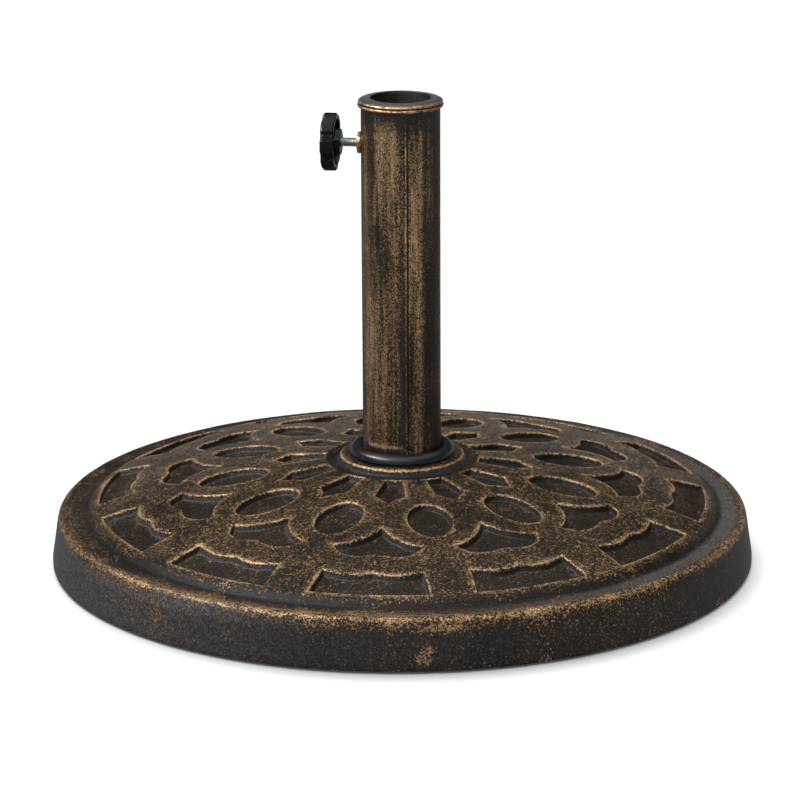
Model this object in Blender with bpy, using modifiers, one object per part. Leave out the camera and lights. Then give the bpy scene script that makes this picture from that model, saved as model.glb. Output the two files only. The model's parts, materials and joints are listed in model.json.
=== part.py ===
"""Round parasol base: a cast weight with twelve-fold relief, a steel pole tube and a side clamp.

Units are metres, +Z is up. The origin is the middle of the base on the floor.
"""
import math

import bmesh
import bpy
from mathutils import Vector

MM = 0.001
GAP = 0.3 * MM              # clearance between pieces that touch
MERGE = 0.01 * MM

# Weight disc
DISC_STEPS = 60             # facets round the disc, a multiple of the relief's twelve sectors
SECTORS = 12
SPOKE_AZIMUTH = 279.0       # degrees from +X of one spoke; the others follow every 30
FOOT_HEIGHT = 1.5 * MM      # the disc's underside above the floor
COUNTERBORE_R = 21.5 * MM   # takes the washers and the bolt's head
COUNTERBORE_TOP = 22.0 * MM
TUBE_SEAT_Z = 60.0 * MM     # bottom of the recess that takes the tube
POCKET_DEPTH = 4.0 * MM

# Sections of the disc as (radius, height), in millimetres, from the hub outwards
HUB_PROFILE = ((25.3, 68.9), (33.8, 68.9), (38.2, 68.3), (39.3, 67.4), (40.6, 63.8), (47.8, 63.6))
DOME_PROFILE = ((49.0, 64.9), (75.0, 61.8), (105.0, 57.9), (135.0, 53.2), (165.0, 47.3), (194.6, 39.3))
RIM_PROFILE = ((199.6, 37.3), (202.6, 33.2), (210.0, 32.5), (216.5, 33.6), (220.3, 32.4), (222.2, 28.5),
               (225.0, 4.0), (223.5, 1.5))

# Relief, in millimetres
SPOKE_HALF_WIDTH = 14.1
OUTER_POCKET_R = 194.5
OUTER_POCKET_INNER_R = 171.7
OVAL_CENTRE_R = 108.6
OVAL_HALF_SIZES = (22.3, 13.8)      # radial, tangential
RING_CENTRE_R = 107.9
RING_HALF_SIZES = (36.3, 30.8)
HUB_STEP_R = 49.6
SCALLOP_EDGE = ((24.0, 171.7), (18.0, 173.9), (12.0, 174.7), (6.0, 174.0), (0.0, 172.3))
BELL_TOP = ((0.0, 151.4), (6.0, 153.1), (12.0, 153.8), (18.0, 152.5), (23.0, 149.0), (27.0, 143.6))
BELL_SIDE_ANGLES = (24.0, 40.0, 55.0, 68.0)     # degrees round the neighbouring oval ring
BELL_TIP_Y = 117.6
KITE_TIP_Y = 84.5
KITE_SIDE_ANGLES = (141.0, 151.0, 162.0)
KITE_FOOT_X = 5.5

# Feet
FOOT_COUNT = 6
FOOT_R = 10.0 * MM
FOOT_RING_R = 209.0 * MM

# Pole tube, its foot and the bolt that holds it
TUBE_STEPS = 48
TUBE_R = 25.0 * MM
TUBE_WALL = 1.5 * MM
TUBE_BOTTOM = TUBE_SEAT_Z + GAP
TUBE_TOP = 296.7 * MM
PLATE_THICKNESS = 8.0 * MM
BOLT_R = 4.95 * MM
BOLT_TIP_Z = 67.6 * MM
BOLT_HEAD_CORNER_R = 9.81 * MM
BOLT_HEAD_HEIGHT = 6.4 * MM
SLEEVE_R = 7.0 * MM
PENNY_R = 20.0 * MM
PENNY_THICKNESS = 2.5 * MM
SPRING_R = 8.5 * MM
SPRING_THICKNESS = 2.6 * MM
SPRING_SPLIT = 1.4 * MM

# Clamp, on an axis square to the tube
CLAMP_Z = 270.4 * MM
CLAMP_AZIMUTH = 172.0
SCREW_R = 2.95 * MM
SCREW_HEAD_CORNER_R = 5.77 * MM
NUT_R = 6.9 * MM
NUT_FACE = 27.2 * MM
NUT_PILOT_R = 4.4 * MM
PAD_FACE = 17.4 * MM
KNOB_BACK = 40.3 * MM
KNOB_FACE = KNOB_BACK + 8.5 * MM
KNOB_BOSS_R = 8.4 * MM
KNOB_BOSS_LENGTH = 2.8 * MM  # how far the boss stands out behind the knob
SCREW_HEAD_SEAT = KNOB_BACK + 2.0 * MM
SCREW_HEAD_HEIGHT = 3.8 * MM
CAP_SEAT = KNOB_BACK + 6.5 * MM
KNOB_LOBES = 8
KNOB_LOBE_R = 18.2 * MM
KNOB_FLUTE_R = 16.6 * MM
KNOB_EDGE = 1.0 * MM


def clear_scene():
    """Remove whatever the scene holds."""
    for obj in list(bpy.data.objects):
        bpy.data.objects.remove(obj, do_unlink=True)


def make_collection(name):
    """Add a collection to the scene."""
    collection = bpy.data.collections.new(name)
    bpy.context.scene.collection.children.link(collection)
    return collection


def make_material(name, colour, roughness, metallic=0.0):
    """A Principled material with one colour."""
    material = bpy.data.materials.new(name)
    material.use_nodes = True
    shader = material.node_tree.nodes["Principled BSDF"]
    shader.inputs["Base Color"].default_value = (*colour, 1.0)
    shader.inputs["Roughness"].default_value = roughness
    shader.inputs["Metallic"].default_value = metallic
    return material


def add_object(name, mesh, collection, material=None, parent=None):
    """Put a mesh in the scene under a name."""
    obj = bpy.data.objects.new(name, mesh)
    collection.objects.link(obj)
    if material:
        mesh.materials.clear()
        mesh.materials.append(material)
    obj.parent = parent
    return obj


def add_empty(name, location, rotation, collection, parent=None):
    """An empty that carries the pieces of one joint."""
    empty = bpy.data.objects.new(name, None)
    empty.empty_display_size = 0.02
    empty.location = location
    empty.rotation_euler = rotation
    empty.parent = parent
    collection.objects.link(empty)
    return empty


def as_cutter(obj):
    """Keep a Boolean's second shape out of sight."""
    obj.hide_render = True
    obj.display_type = "WIRE"
    return obj


def turned(name, profile, collection, steps, material=None, parent=None, closed=True):
    """Turn a profile of (radius, height) points round the local Z axis, outer side first, top down."""
    bm = bmesh.new()
    verts = [bm.verts.new((radius, 0.0, height)) for radius, height in profile]
    for first, second in zip(verts, verts[1:]):
        bm.edges.new((first, second))
    if closed:
        bm.edges.new((verts[-1], verts[0]))
    mesh = bpy.data.meshes.new(name)
    bm.to_mesh(mesh)
    bm.free()
    obj = add_object(name, mesh, collection, material, parent)
    screw = obj.modifiers.new("Turn", "SCREW")
    screw.axis = "Z"
    screw.angle = math.tau
    screw.steps = steps
    screw.render_steps = steps
    screw.use_merge_vertices = True
    screw.merge_threshold = MERGE
    screw.use_smooth_shade = True
    return obj


def ring(name, inner, outer, bottom, top, collection, steps, **options):
    """A plain ring with a square section."""
    profile = ((outer, top), (outer, bottom), (inner, bottom), (inner, top))
    return turned(name, profile, collection, steps, **options)


def rod(name, radius, bottom, top, collection, steps, **options):
    """A plain round bar with flat ends."""
    profile = ((0.0, top), (radius, top), (radius, bottom), (0.0, bottom))
    return turned(name, profile, collection, steps, closed=False, **options)


def hexagon(name, corner_radius, bottom, top, collection, material=None, parent=None):
    """A hexagonal prism along the local Z axis."""
    bm = bmesh.new()
    bmesh.ops.create_cone(bm, cap_ends=True, segments=6, radius1=corner_radius, radius2=corner_radius,
                          depth=top - bottom)
    bmesh.ops.translate(bm, verts=bm.verts, vec=Vector((0.0, 0.0, (top + bottom) / 2.0)))
    mesh = bpy.data.meshes.new(name)
    bm.to_mesh(mesh)
    bm.free()
    return add_object(name, mesh, collection, material, parent)


def box(name, size, collection):
    """A box centred on its own origin."""
    bm = bmesh.new()
    bmesh.ops.create_cube(bm, size=1.0)
    bmesh.ops.scale(bm, verts=bm.verts, vec=Vector(size))
    mesh = bpy.data.meshes.new(name)
    bm.to_mesh(mesh)
    bm.free()
    return add_object(name, mesh, collection)


def boolean(obj, other, operation):
    """Add a Boolean with the exact solver."""
    modifier = obj.modifiers.new(other.name, "BOOLEAN")
    modifier.operation = operation
    modifier.object = other
    return modifier


def extruded_outlines(name, outlines, bottom, top, collection, material=None, parent=None):
    """Extrude closed flat outlines into one mesh of prisms."""
    curve = bpy.data.curves.new(name, "CURVE")
    curve.dimensions = "2D"
    curve.fill_mode = "BOTH"
    curve.extrude = (top - bottom) / 2.0
    for outline in outlines:
        spline = curve.splines.new("POLY")
        spline.points.add(len(outline) - 1)
        for point, (x, y) in zip(spline.points, outline):
            point.co = (x, y, 0.0, 1.0)
        spline.use_cyclic_u = True
    flat = bpy.data.objects.new(name + "_outline", curve)
    collection.objects.link(flat)
    bpy.context.view_layer.update()
    evaluated = flat.evaluated_get(bpy.context.evaluated_depsgraph_get())
    mesh = bpy.data.meshes.new_from_object(evaluated)
    bpy.data.objects.remove(flat, do_unlink=True)
    bm = bmesh.new()
    bm.from_mesh(mesh)
    bmesh.ops.remove_doubles(bm, verts=bm.verts, dist=MERGE)
    bmesh.ops.translate(bm, verts=bm.verts, vec=Vector((0.0, 0.0, (top + bottom) / 2.0)))
    bm.to_mesh(mesh)
    bm.free()
    return add_object(name, mesh, collection, material, parent)


def scaled(points):
    """Millimetre pairs as metres."""
    return [(first * MM, second * MM) for first, second in points]


# ---------------------------------------------------------------- relief outlines, in millimetres
# A sector's own frame has x tangential and y radial, outwards, with y = 0 on the base's axis.

def ring_edge(angle_degrees):
    """A point on the outer edge of the oval ring 15 degrees to the right, counted from its outer end."""
    angle = math.radians(angle_degrees)
    tilt = math.radians(180.0 / SECTORS)
    radial = RING_CENTRE_R + RING_HALF_SIZES[0] * math.cos(angle)
    tangential = -RING_HALF_SIZES[1] * math.sin(angle)
    return (radial * math.sin(tilt) + tangential * math.cos(tilt),
            radial * math.cos(tilt) - tangential * math.sin(tilt))


def spoke_edge(radius):
    """A point on the near side of the spoke 15 degrees to the right, at a distance from the axis."""
    tilt = math.radians(180.0 / SECTORS)
    along = math.sqrt(radius * radius - SPOKE_HALF_WIDTH * SPOKE_HALF_WIDTH)
    return (along * math.sin(tilt) - SPOKE_HALF_WIDTH * math.cos(tilt),
            along * math.cos(tilt) + SPOKE_HALF_WIDTH * math.sin(tilt))


def mirrored(half):
    """Close a right-hand half outline; its first and last points lie on the sector's centre line."""
    left = [(-x, y) for x, y in reversed(half) if x > 0.0]
    return list(half) + left


def outer_pocket():
    """The trapezoid between two spokes, with a two-lobed inner edge."""
    corner = spoke_edge(OUTER_POCKET_R)
    span = math.atan2(corner[0], corner[1])
    arc = [(OUTER_POCKET_R * math.sin(span * step / 3.0), OUTER_POCKET_R * math.cos(span * step / 3.0))
           for step in range(4)]
    half = arc + [spoke_edge(OUTER_POCKET_INNER_R)] + list(SCALLOP_EDGE)
    return mirrored(half)


def bell_pocket():
    """The bell-shaped pocket under the scalloped band, its sides along the two oval rings."""
    half = list(BELL_TOP) + [ring_edge(angle) for angle in BELL_SIDE_ANGLES] + [(0.0, BELL_TIP_Y)]
    return mirrored(half)


def kite_pocket():
    """The small pocket between two oval rings and the hub."""
    foot_y = math.sqrt(HUB_STEP_R * HUB_STEP_R - KITE_FOOT_X * KITE_FOOT_X)
    half = [(0.0, KITE_TIP_Y)] + [ring_edge(angle) for angle in KITE_SIDE_ANGLES]
    half += [(KITE_FOOT_X, foot_y), (0.0, HUB_STEP_R)]
    return mirrored(half)


def oval_pocket():
    """The oval inside a ring, on a spoke's azimuth."""
    count = 16
    points = []
    for step in range(count):
        angle = math.tau * step / count
        points.append((OVAL_HALF_SIZES[1] * math.sin(angle),
                       OVAL_CENTRE_R + OVAL_HALF_SIZES[0] * math.cos(angle)))
    return points


def placed(outline, azimuth_degrees):
    """Turn a sector outline so its y axis points at an azimuth."""
    azimuth = math.radians(azimuth_degrees)
    radial = (math.cos(azimuth), math.sin(azimuth))
    tangential = (math.sin(azimuth), -math.cos(azimuth))
    return [(x * tangential[0] + y * radial[0], x * tangential[1] + y * radial[1]) for x, y in outline]


def relief_outlines():
    """Every pocket of the relief."""
    outlines = []
    for sector in range(SECTORS):
        spoke = SPOKE_AZIMUTH + sector * 360.0 / SECTORS
        between = spoke + 180.0 / SECTORS
        outlines.append(placed(oval_pocket(), spoke))
        for shape in (outer_pocket(), bell_pocket(), kite_pocket()):
            outlines.append(placed(shape, between))
    return [scaled(outline) for outline in outlines]


# ---------------------------------------------------------------- pieces

def build_disc(parts, cutters, material):
    """The cast weight, its relief cut to an even depth below the dome."""
    profile = scaled(HUB_PROFILE + DOME_PROFILE + RIM_PROFILE)
    profile += [(COUNTERBORE_R, FOOT_HEIGHT), (COUNTERBORE_R, COUNTERBORE_TOP),
                (SLEEVE_R + GAP, COUNTERBORE_TOP), (SLEEVE_R + GAP, TUBE_SEAT_Z),
                (TUBE_R + GAP, TUBE_SEAT_Z)]
    disc = turned("weight_disc", profile, parts, DISC_STEPS, material=material)

    floor = [(radius, height - POCKET_DEPTH) for radius, height in scaled(DOME_PROFILE)]
    floor_end = (205.0 * MM, floor[-1][1] - 4.0 * MM)
    former_profile = [(0.0, floor[0][1])] + floor + [floor_end, (205.0 * MM, 10.0 * MM), (0.0, 10.0 * MM)]
    former = as_cutter(turned("pocket_floor", former_profile, cutters, DISC_STEPS, closed=False))
    pockets = as_cutter(extruded_outlines("pockets", relief_outlines(), 20.0 * MM, 80.0 * MM, cutters))
    boolean(pockets, former, "DIFFERENCE")
    boolean(disc, pockets, "DIFFERENCE")
    return disc


def build_feet(parts, material):
    """Six thin pads under the rim."""
    for index in range(FOOT_COUNT):
        angle = math.tau * (index + 0.5) / FOOT_COUNT
        pad = rod(f"foot_pad_{index + 1}", FOOT_R, 0.0, FOOT_HEIGHT - GAP, parts, 24, material=material)
        pad.location = (FOOT_RING_R * math.cos(angle), FOOT_RING_R * math.sin(angle), 0.0)


def build_foot_ring(parts, material):
    """The half-round trim ring that covers the joint between tube and casting."""
    profile = scaled([(28.6, 75.0), (30.4, 74.8), (32.2, 73.6), (33.4, 71.6), (33.8, 69.2), (25.3, 69.2),
                      (25.3, 72.4), (26.4, 72.9), (27.2, 74.4)])
    return turned("foot_ring", profile, parts, TUBE_STEPS, material=material)


def build_tube(parts, cutters, clamp, steel, dark):
    """The pole tube with the clamp's side hole, and the plate that closes its foot."""
    tube = ring("pole_tube", TUBE_R - TUBE_WALL, TUBE_R, TUBE_BOTTOM, TUBE_TOP, parts, TUBE_STEPS,
                material=steel)
    hole = as_cutter(rod("tube_hole", NUT_PILOT_R + GAP, 15.0 * MM, 35.0 * MM, cutters, 24, parent=clamp))
    boolean(tube, hole, "DIFFERENCE")
    ring("tube_foot_plate", BOLT_R + GAP, TUBE_R - TUBE_WALL - GAP, TUBE_BOTTOM,
         TUBE_BOTTOM + PLATE_THICKNESS, parts, 48, material=dark)


def build_centre_bolt(parts, cutters, zinc, sleeve_material):
    """The bolt from the underside, its two washers and the sleeve in the casting."""
    penny_top = COUNTERBORE_TOP - GAP
    penny_bottom = penny_top - PENNY_THICKNESS
    spring_top = penny_bottom - GAP
    spring_bottom = spring_top - SPRING_THICKNESS
    head_top = spring_bottom - GAP
    ring("penny_washer", BOLT_R + GAP, PENNY_R, penny_bottom, penny_top, parts, 48, material=zinc)
    washer = ring("spring_washer", BOLT_R + GAP, SPRING_R, spring_bottom, spring_top, parts, 48,
                  material=zinc)
    split = as_cutter(box("washer_split", (8.0 * MM, SPRING_SPLIT, 6.0 * MM), cutters))
    split.location = (7.0 * MM, 0.0, (spring_bottom + spring_top) / 2.0)
    boolean(washer, split, "DIFFERENCE")
    bolt = hexagon("centre_bolt", BOLT_HEAD_CORNER_R, head_top - BOLT_HEAD_HEIGHT, head_top, parts, zinc)
    shank = as_cutter(rod("bolt_shank", BOLT_R, head_top - 2.0 * MM, BOLT_TIP_Z, cutters, 32))
    boolean(bolt, shank, "UNION")
    ring("anchor_sleeve", BOLT_R + GAP, SLEEVE_R, COUNTERBORE_TOP + 0.4 * MM, TUBE_SEAT_Z - GAP, parts, 32,
         material=sleeve_material)


def build_collar(parts, bead_material, sleeve_material):
    """The bead round the tube's top and the flanged sleeve that narrows it to the pole."""
    bead = scaled([(26.0, 296.7), (26.7, 296.4), (27.05, 295.6), (26.9, 294.8), (26.2, 294.2), (25.3, 294.2),
                   (25.3, 296.7)])
    turned("collar_bead", bead, parts, TUBE_STEPS, material=bead_material)
    sleeve = scaled([(18.9, 300.0), (21.5, 299.7), (25.2, 299.1), (26.4, 298.6), (26.75, 297.8),
                     (26.4, 297.0), (23.2, 297.0), (23.2, 281.0), (22.4, 280.0), (19.4, 280.0),
                     (18.8, 280.6), (18.8, 299.8)])
    turned("reducer_sleeve", sleeve, parts, TUBE_STEPS, material=sleeve_material)


def build_nut(parts, cutters, clamp, material):
    """The flanged weld nut: a saddle on the tube and a pilot through its wall."""
    flange_profile = [(0.0, NUT_FACE), (6.2 * MM, NUT_FACE), (NUT_R, NUT_FACE - 0.6 * MM),
                      (NUT_R, 20.0 * MM), (0.0, 20.0 * MM)]
    nut = turned("clamp_nut", flange_profile, parts, 32, material=material, parent=clamp, closed=False)
    saddle = as_cutter(rod("nut_saddle", TUBE_R + GAP, 0.2, 0.34, cutters, TUBE_STEPS))
    pilot = as_cutter(rod("nut_pilot", NUT_PILOT_R, 22.9 * MM, 26.2 * MM, cutters, 32, parent=clamp))
    bore = as_cutter(rod("nut_bore", SCREW_R + GAP, 15.0 * MM, 35.0 * MM, cutters, 24, parent=clamp))
    boolean(nut, saddle, "DIFFERENCE")
    boolean(nut, pilot, "UNION")
    boolean(nut, bore, "DIFFERENCE")


def build_pad(parts, travel, material):
    """The swivel pad at the screw's tip."""
    face = PAD_FACE
    profile = [(4.2 * MM, face + 3.0 * MM), (5.0 * MM, face + 2.4 * MM), (5.0 * MM, face + 0.6 * MM),
               (4.4 * MM, face), (0.0, face)]
    socket = [(0.0, face + 1.2 * MM), (2.1 * MM, face + 1.2 * MM), (2.1 * MM, face + 3.0 * MM)]
    turned("pressure_pad", socket + profile, parts, 32, material=material, parent=travel, closed=False)


def build_screw(parts, cutters, turn, zinc):
    """The M6 hex screw, its head held in the knob and its tip turned down for the pad."""
    head_bottom = SCREW_HEAD_SEAT + GAP
    head_top = head_bottom + SCREW_HEAD_HEIGHT
    screw = hexagon("clamp_screw", SCREW_HEAD_CORNER_R, head_bottom, head_top, parts, zinc, turn)
    shoulder = PAD_FACE + 3.3 * MM
    shank_profile = [(0.0, head_bottom + 1.5 * MM), (SCREW_R, head_bottom + 1.5 * MM), (SCREW_R, shoulder),
                     (1.8 * MM, shoulder), (1.8 * MM, PAD_FACE + 1.5 * MM), (0.0, PAD_FACE + 1.5 * MM)]
    shank = as_cutter(turned("screw_shank", shank_profile, cutters, 24, parent=turn, closed=False))
    boolean(screw, shank, "UNION")


def knob_outline():
    """Eight broad lobes with shallow concave flutes between them."""
    pitch = 360.0 / KNOB_LOBES
    lobe = ((-12.5, KNOB_LOBE_R), (-4.5, KNOB_LOBE_R), (4.5, KNOB_LOBE_R), (12.5, KNOB_LOBE_R),
            (16.0, KNOB_FLUTE_R + 0.4 * MM), (22.5, KNOB_FLUTE_R), (29.0, KNOB_FLUTE_R + 0.4 * MM))
    points = []
    for index in range(KNOB_LOBES):
        for offset, radius in lobe:
            angle = math.radians(index * pitch + offset)
            points.append((radius * math.cos(angle), radius * math.sin(angle)))
    return points


def build_knob(parts, cutters, turn, plastic, cap_plastic):
    """The hand knob, hollow behind, with a boss, a pocket for the screw's head and a cap."""
    knob = extruded_outlines("clamp_knob", [knob_outline()], KNOB_BACK, KNOB_FACE, parts, plastic, turn)
    bevel = knob.modifiers.new("Edge", "BEVEL")
    bevel.width = KNOB_EDGE
    bevel.segments = 2
    bevel.limit_method = "ANGLE"
    bevel.angle_limit = math.radians(60.0)
    hollow = ring("knob_hollow", KNOB_BOSS_R + 0.6 * MM, 14.6 * MM, KNOB_BACK - 2.0 * MM,
                  KNOB_BACK + 4.5 * MM, cutters, 40, parent=turn)
    boss_end = KNOB_BACK - KNOB_BOSS_LENGTH
    boss_profile = [(0.0, KNOB_BACK + 1.0 * MM), (KNOB_BOSS_R + 0.3 * MM, KNOB_BACK + 1.0 * MM),
                    (KNOB_BOSS_R, boss_end + 0.6 * MM), (KNOB_BOSS_R - 0.6 * MM, boss_end), (0.0, boss_end)]
    boss = turned("knob_boss", boss_profile, cutters, 40, parent=turn, closed=False)
    beyond = KNOB_FACE + 2.5 * MM
    bore_profile = [(0.0, beyond), (8.0 * MM, beyond), (8.0 * MM, CAP_SEAT), (6.2 * MM, CAP_SEAT),
                    (6.2 * MM, SCREW_HEAD_SEAT), (SCREW_R + GAP, SCREW_HEAD_SEAT),
                    (SCREW_R + GAP, boss_end - 2.0 * MM), (0.0, boss_end - 2.0 * MM)]
    bore = turned("knob_bore", bore_profile, cutters, 32, parent=turn, closed=False)
    boolean(knob, as_cutter(hollow), "DIFFERENCE")
    boolean(knob, as_cutter(boss), "UNION")
    boolean(knob, as_cutter(bore), "DIFFERENCE")
    cap_top = KNOB_FACE + 0.8 * MM
    cap_profile = [(0.0, cap_top), (4.0 * MM, cap_top - 0.2 * MM), (6.8 * MM, cap_top - 0.7 * MM),
                   (7.7 * MM, cap_top - 1.2 * MM), (7.7 * MM, CAP_SEAT + GAP), (0.0, CAP_SEAT + GAP)]
    turned("knob_cap", cap_profile, parts, 32, material=cap_plastic, parent=turn, closed=False)


def build():
    """Model every piece of the base."""
    clear_scene()
    parts = make_collection("parasol_base")
    cutters = make_collection("cutters")
    bronze_paint = make_material("bronze_paint", (0.055, 0.043, 0.032), 0.5, 0.3)
    tube_paint = make_material("tube_paint", (0.06, 0.045, 0.03), 0.45, 0.4)
    collar_paint = make_material("collar_paint", (0.2, 0.13, 0.07), 0.4, 0.5)
    rubber = make_material("foot_rubber", (0.02, 0.02, 0.02), 0.85)
    satin_black = make_material("satin_black", (0.02, 0.022, 0.025), 0.35)
    knob_black = make_material("knob_black", (0.015, 0.015, 0.016), 0.4)
    steel = make_material("steel", (0.35, 0.34, 0.33), 0.45, 1.0)
    zinc = make_material("zinc", (0.6, 0.63, 0.62), 0.35, 1.0)
    pad_brass = make_material("pad_brass", (0.6, 0.47, 0.25), 0.4, 1.0)

    clamp_place = (0.0, 0.0, CLAMP_Z)
    clamp_turn = (0.0, math.radians(90.0), math.radians(CLAMP_AZIMUTH))
    clamp = add_empty("clamp_axis", clamp_place, clamp_turn, parts)
    travel = add_empty("clamp_travel", clamp_place, clamp_turn, parts)
    turn = add_empty("knob_turn", (0.0, 0.0, 0.0), (0.0, 0.0, 0.0), parts, parent=travel)
    bpy.context.view_layer.update()

    build_disc(parts, cutters, bronze_paint)
    build_feet(parts, rubber)
    build_foot_ring(parts, satin_black)
    build_tube(parts, cutters, clamp, tube_paint, steel)
    build_centre_bolt(parts, cutters, zinc, steel)
    build_collar(parts, collar_paint, collar_paint)
    build_nut(parts, cutters, clamp, collar_paint)
    build_pad(parts, travel, pad_brass)
    build_screw(parts, cutters, turn, zinc)
    build_knob(parts, cutters, turn, knob_black, knob_black)
    cutters.hide_render = True


build()
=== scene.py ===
"""The look of the round parasol base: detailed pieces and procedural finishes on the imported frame.

Lengths are in millimetres in the model space of this script and are scaled to metres when a mesh is made.
"""

import json
import math

import bmesh
import bpy
import numpy as np
from mathutils import Matrix, Vector, geometry


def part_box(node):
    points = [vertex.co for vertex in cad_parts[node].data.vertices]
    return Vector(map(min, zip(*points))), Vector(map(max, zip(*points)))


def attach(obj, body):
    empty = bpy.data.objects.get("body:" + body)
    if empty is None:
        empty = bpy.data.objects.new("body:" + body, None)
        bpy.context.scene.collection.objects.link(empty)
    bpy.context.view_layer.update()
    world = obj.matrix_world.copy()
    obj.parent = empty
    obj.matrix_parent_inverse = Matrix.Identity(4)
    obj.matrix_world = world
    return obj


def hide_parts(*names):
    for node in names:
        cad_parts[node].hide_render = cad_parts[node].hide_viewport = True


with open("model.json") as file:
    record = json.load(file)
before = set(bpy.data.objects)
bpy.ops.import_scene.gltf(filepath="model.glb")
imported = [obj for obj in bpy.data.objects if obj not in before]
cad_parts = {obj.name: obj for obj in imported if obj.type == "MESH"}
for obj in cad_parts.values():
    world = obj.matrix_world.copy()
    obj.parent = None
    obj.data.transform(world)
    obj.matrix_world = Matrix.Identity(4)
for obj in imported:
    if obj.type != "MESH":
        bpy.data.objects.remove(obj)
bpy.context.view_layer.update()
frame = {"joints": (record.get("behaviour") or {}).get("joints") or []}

MM = 0.001


def box_mm(node):
    """A CAD node's lowest and highest corners in millimetres."""
    low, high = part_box(node)
    return np.array(low) / MM, np.array(high) / MM


def reach(node):
    """A turned CAD node's outer radius, its bottom and its top in millimetres."""
    low, high = box_mm(node)
    return max(-low[0], high[0]), low[2], high[2]


# ------------------------------------------------------------------ driving sizes, in millimetres

DISC_R, DISC_BOTTOM, HUB_TOP = reach("weight_disc")
TUBE_R = 25.0
TUBE_WALL = 1.5
SEAT_R = 25.3
COUNTERBORE_R = 21.5
COUNTERBORE_TOP = 22.0
SLEEVE_BORE_R = 7.3
TUBE_SEAT_Z = 60.0

knob_hinge = next(joint for joint in frame["joints"] if joint["name"] == "knob_turn")
clamp_out = -Vector(knob_hinge["axis"])
# turns +Z into the clamp's axis, pointing outwards
CLAMP_FRAME = (Matrix.Translation((0.0, 0.0, knob_hinge["pos_m"][2] / MM))
               @ Matrix.Rotation(math.atan2(clamp_out.y, clamp_out.x), 4, "Z")
               @ Matrix.Rotation(math.radians(90.0), 4, "Y"))

# the relief
SECTORS = 12
HALF_SECTOR = math.pi / SECTORS
SPOKE_AZIMUTH = math.radians(279.0)
SPOKE_HALF_WIDTH = 14.1
OUTER_POCKET_R = 194.5
OUTER_POCKET_INNER_R = 171.7
OVAL_CENTRE_R = 108.6
OVAL_HALF_SIZES = (22.3, 13.8)
RING_CENTRE_R = 107.9
RING_HALF_SIZES = (36.3, 30.8)
HUB_STEP_R = 49.6
KITE_FOOT_X = 5.5
SCALLOP_EDGE = ((24.0, 171.7), (18.0, 173.9), (12.0, 174.7), (6.0, 174.0), (0.0, 172.3))
BELL_TOP = ((0.0, 151.4), (6.0, 153.1), (12.0, 153.8), (18.0, 152.5), (23.0, 149.0))
BELL_CORNER_ANGLE = 18.0
KITE_CORNER_ANGLE = 162.0
# its border, and the spacing of the mesh's points
RELIEF_IN = 49.0
RELIEF_OUT = 198.0
OUTLINE_STEP = 0.95
ARC_DIVISIONS = 24
FILL_STEP = 2.9
# distance from a pocket's outline (outside positive) and the surface's height below the dome there
WALL_SECTION = ((-2.1, -4.0), (-1.5, -3.95), (-1.1, -3.75), (-0.85, -3.2), (-0.6, -2.3), (-0.3, -1.15),
                (-0.05, -0.5), (0.2, -0.24), (0.55, -0.08), (1.0, -0.02), (1.6, 0.0))
DOME = ((49.0, 64.9), (75.0, 61.8), (105.0, 57.9), (135.0, 53.2), (165.0, 47.3), (194.5, 39.3), (199.0, 37.8))


# ------------------------------------------------------------------ mesh helpers

def make_mesh(name, node, points, faces, slot, material, body="base", matrix=None, sharp=35.0, **attributes):
    """A smooth shaded piece from points in millimetres. It rides on a body and stands for a CAD node."""
    points = np.asarray(points, float)
    if matrix is not None:
        turn = np.array(matrix)
        points = points @ turn[:3, :3].T + turn[:3, 3]
    mesh = bpy.data.meshes.new(name)
    mesh.from_pydata((points * MM).tolist(), [], [list(face) for face in faces])
    for label, values in attributes.items():
        layer = mesh.attributes.new(label, "FLOAT", "POINT")
        layer.data.foreach_set("value", np.asarray(values, np.float32))
    mesh.shade_smooth()
    mesh.set_sharp_from_angle(angle=math.radians(sharp))
    mesh.materials.append(material)
    piece = bpy.data.objects.new(name, mesh)
    bpy.context.scene.collection.objects.link(piece)
    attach(piece, body)
    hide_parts(node)
    return piece


def rounded(profile, radius, closed=True, steps=3):
    """Round every corner of a profile by a small radius."""
    points = [np.array(point, float) for point in profile]
    count = len(points)
    out = []
    for index, point in enumerate(points):
        if not closed and index in (0, count - 1):
            out.append(point)
            continue
        before, after = points[index - 1], points[(index + 1) % count]
        to_before, to_after = before - point, after - point
        length_before, length_after = np.hypot(*to_before), np.hypot(*to_after)
        cut = min(radius, 0.45 * length_before, 0.45 * length_after)
        start = point + to_before / length_before * cut
        end = point + to_after / length_after * cut
        for step in range(steps + 1):
            t = step / steps
            out.append(start * (1 - t) ** 2 + point * 2 * t * (1 - t) + end * t * t)
    return out


def lathe_grid(profile, steps, closed=True, radius_at=None, phase=0.0):
    """Points and faces of a profile of (radius, height) turned about Z. radius_at may bend each row's radius."""
    angles = phase + np.arange(steps) * math.tau / steps
    points, ids = [], []
    for row, (radius, height) in enumerate(profile):
        if radius < 1e-6:
            ids.append([len(points)] * steps)
            points.append((0.0, 0.0, height))
            continue
        radii = np.full(steps, radius) if radius_at is None else radius_at(row, angles)
        ids.append(list(range(len(points), len(points) + steps)))
        points += [(r * math.cos(a), r * math.sin(a), height) for r, a in zip(radii, angles)]
    faces = []
    for upper, lower in [*zip(ids, ids[1:])] + ([(ids[-1], ids[0])] if closed else []):
        for index in range(steps):
            after = (index + 1) % steps
            face = [upper[index], lower[index], lower[after], upper[after]]
            face = [v for position, v in enumerate(face) if v not in face[:position]]
            if len(face) > 2:
                faces.append(face)
    return np.array(points), faces


def polar(points):
    """Each point's distance from the Z axis, and its azimuth in degrees."""
    return np.hypot(points[:, 0], points[:, 1]), np.degrees(np.arctan2(points[:, 1], points[:, 0])) % 360.0


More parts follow.
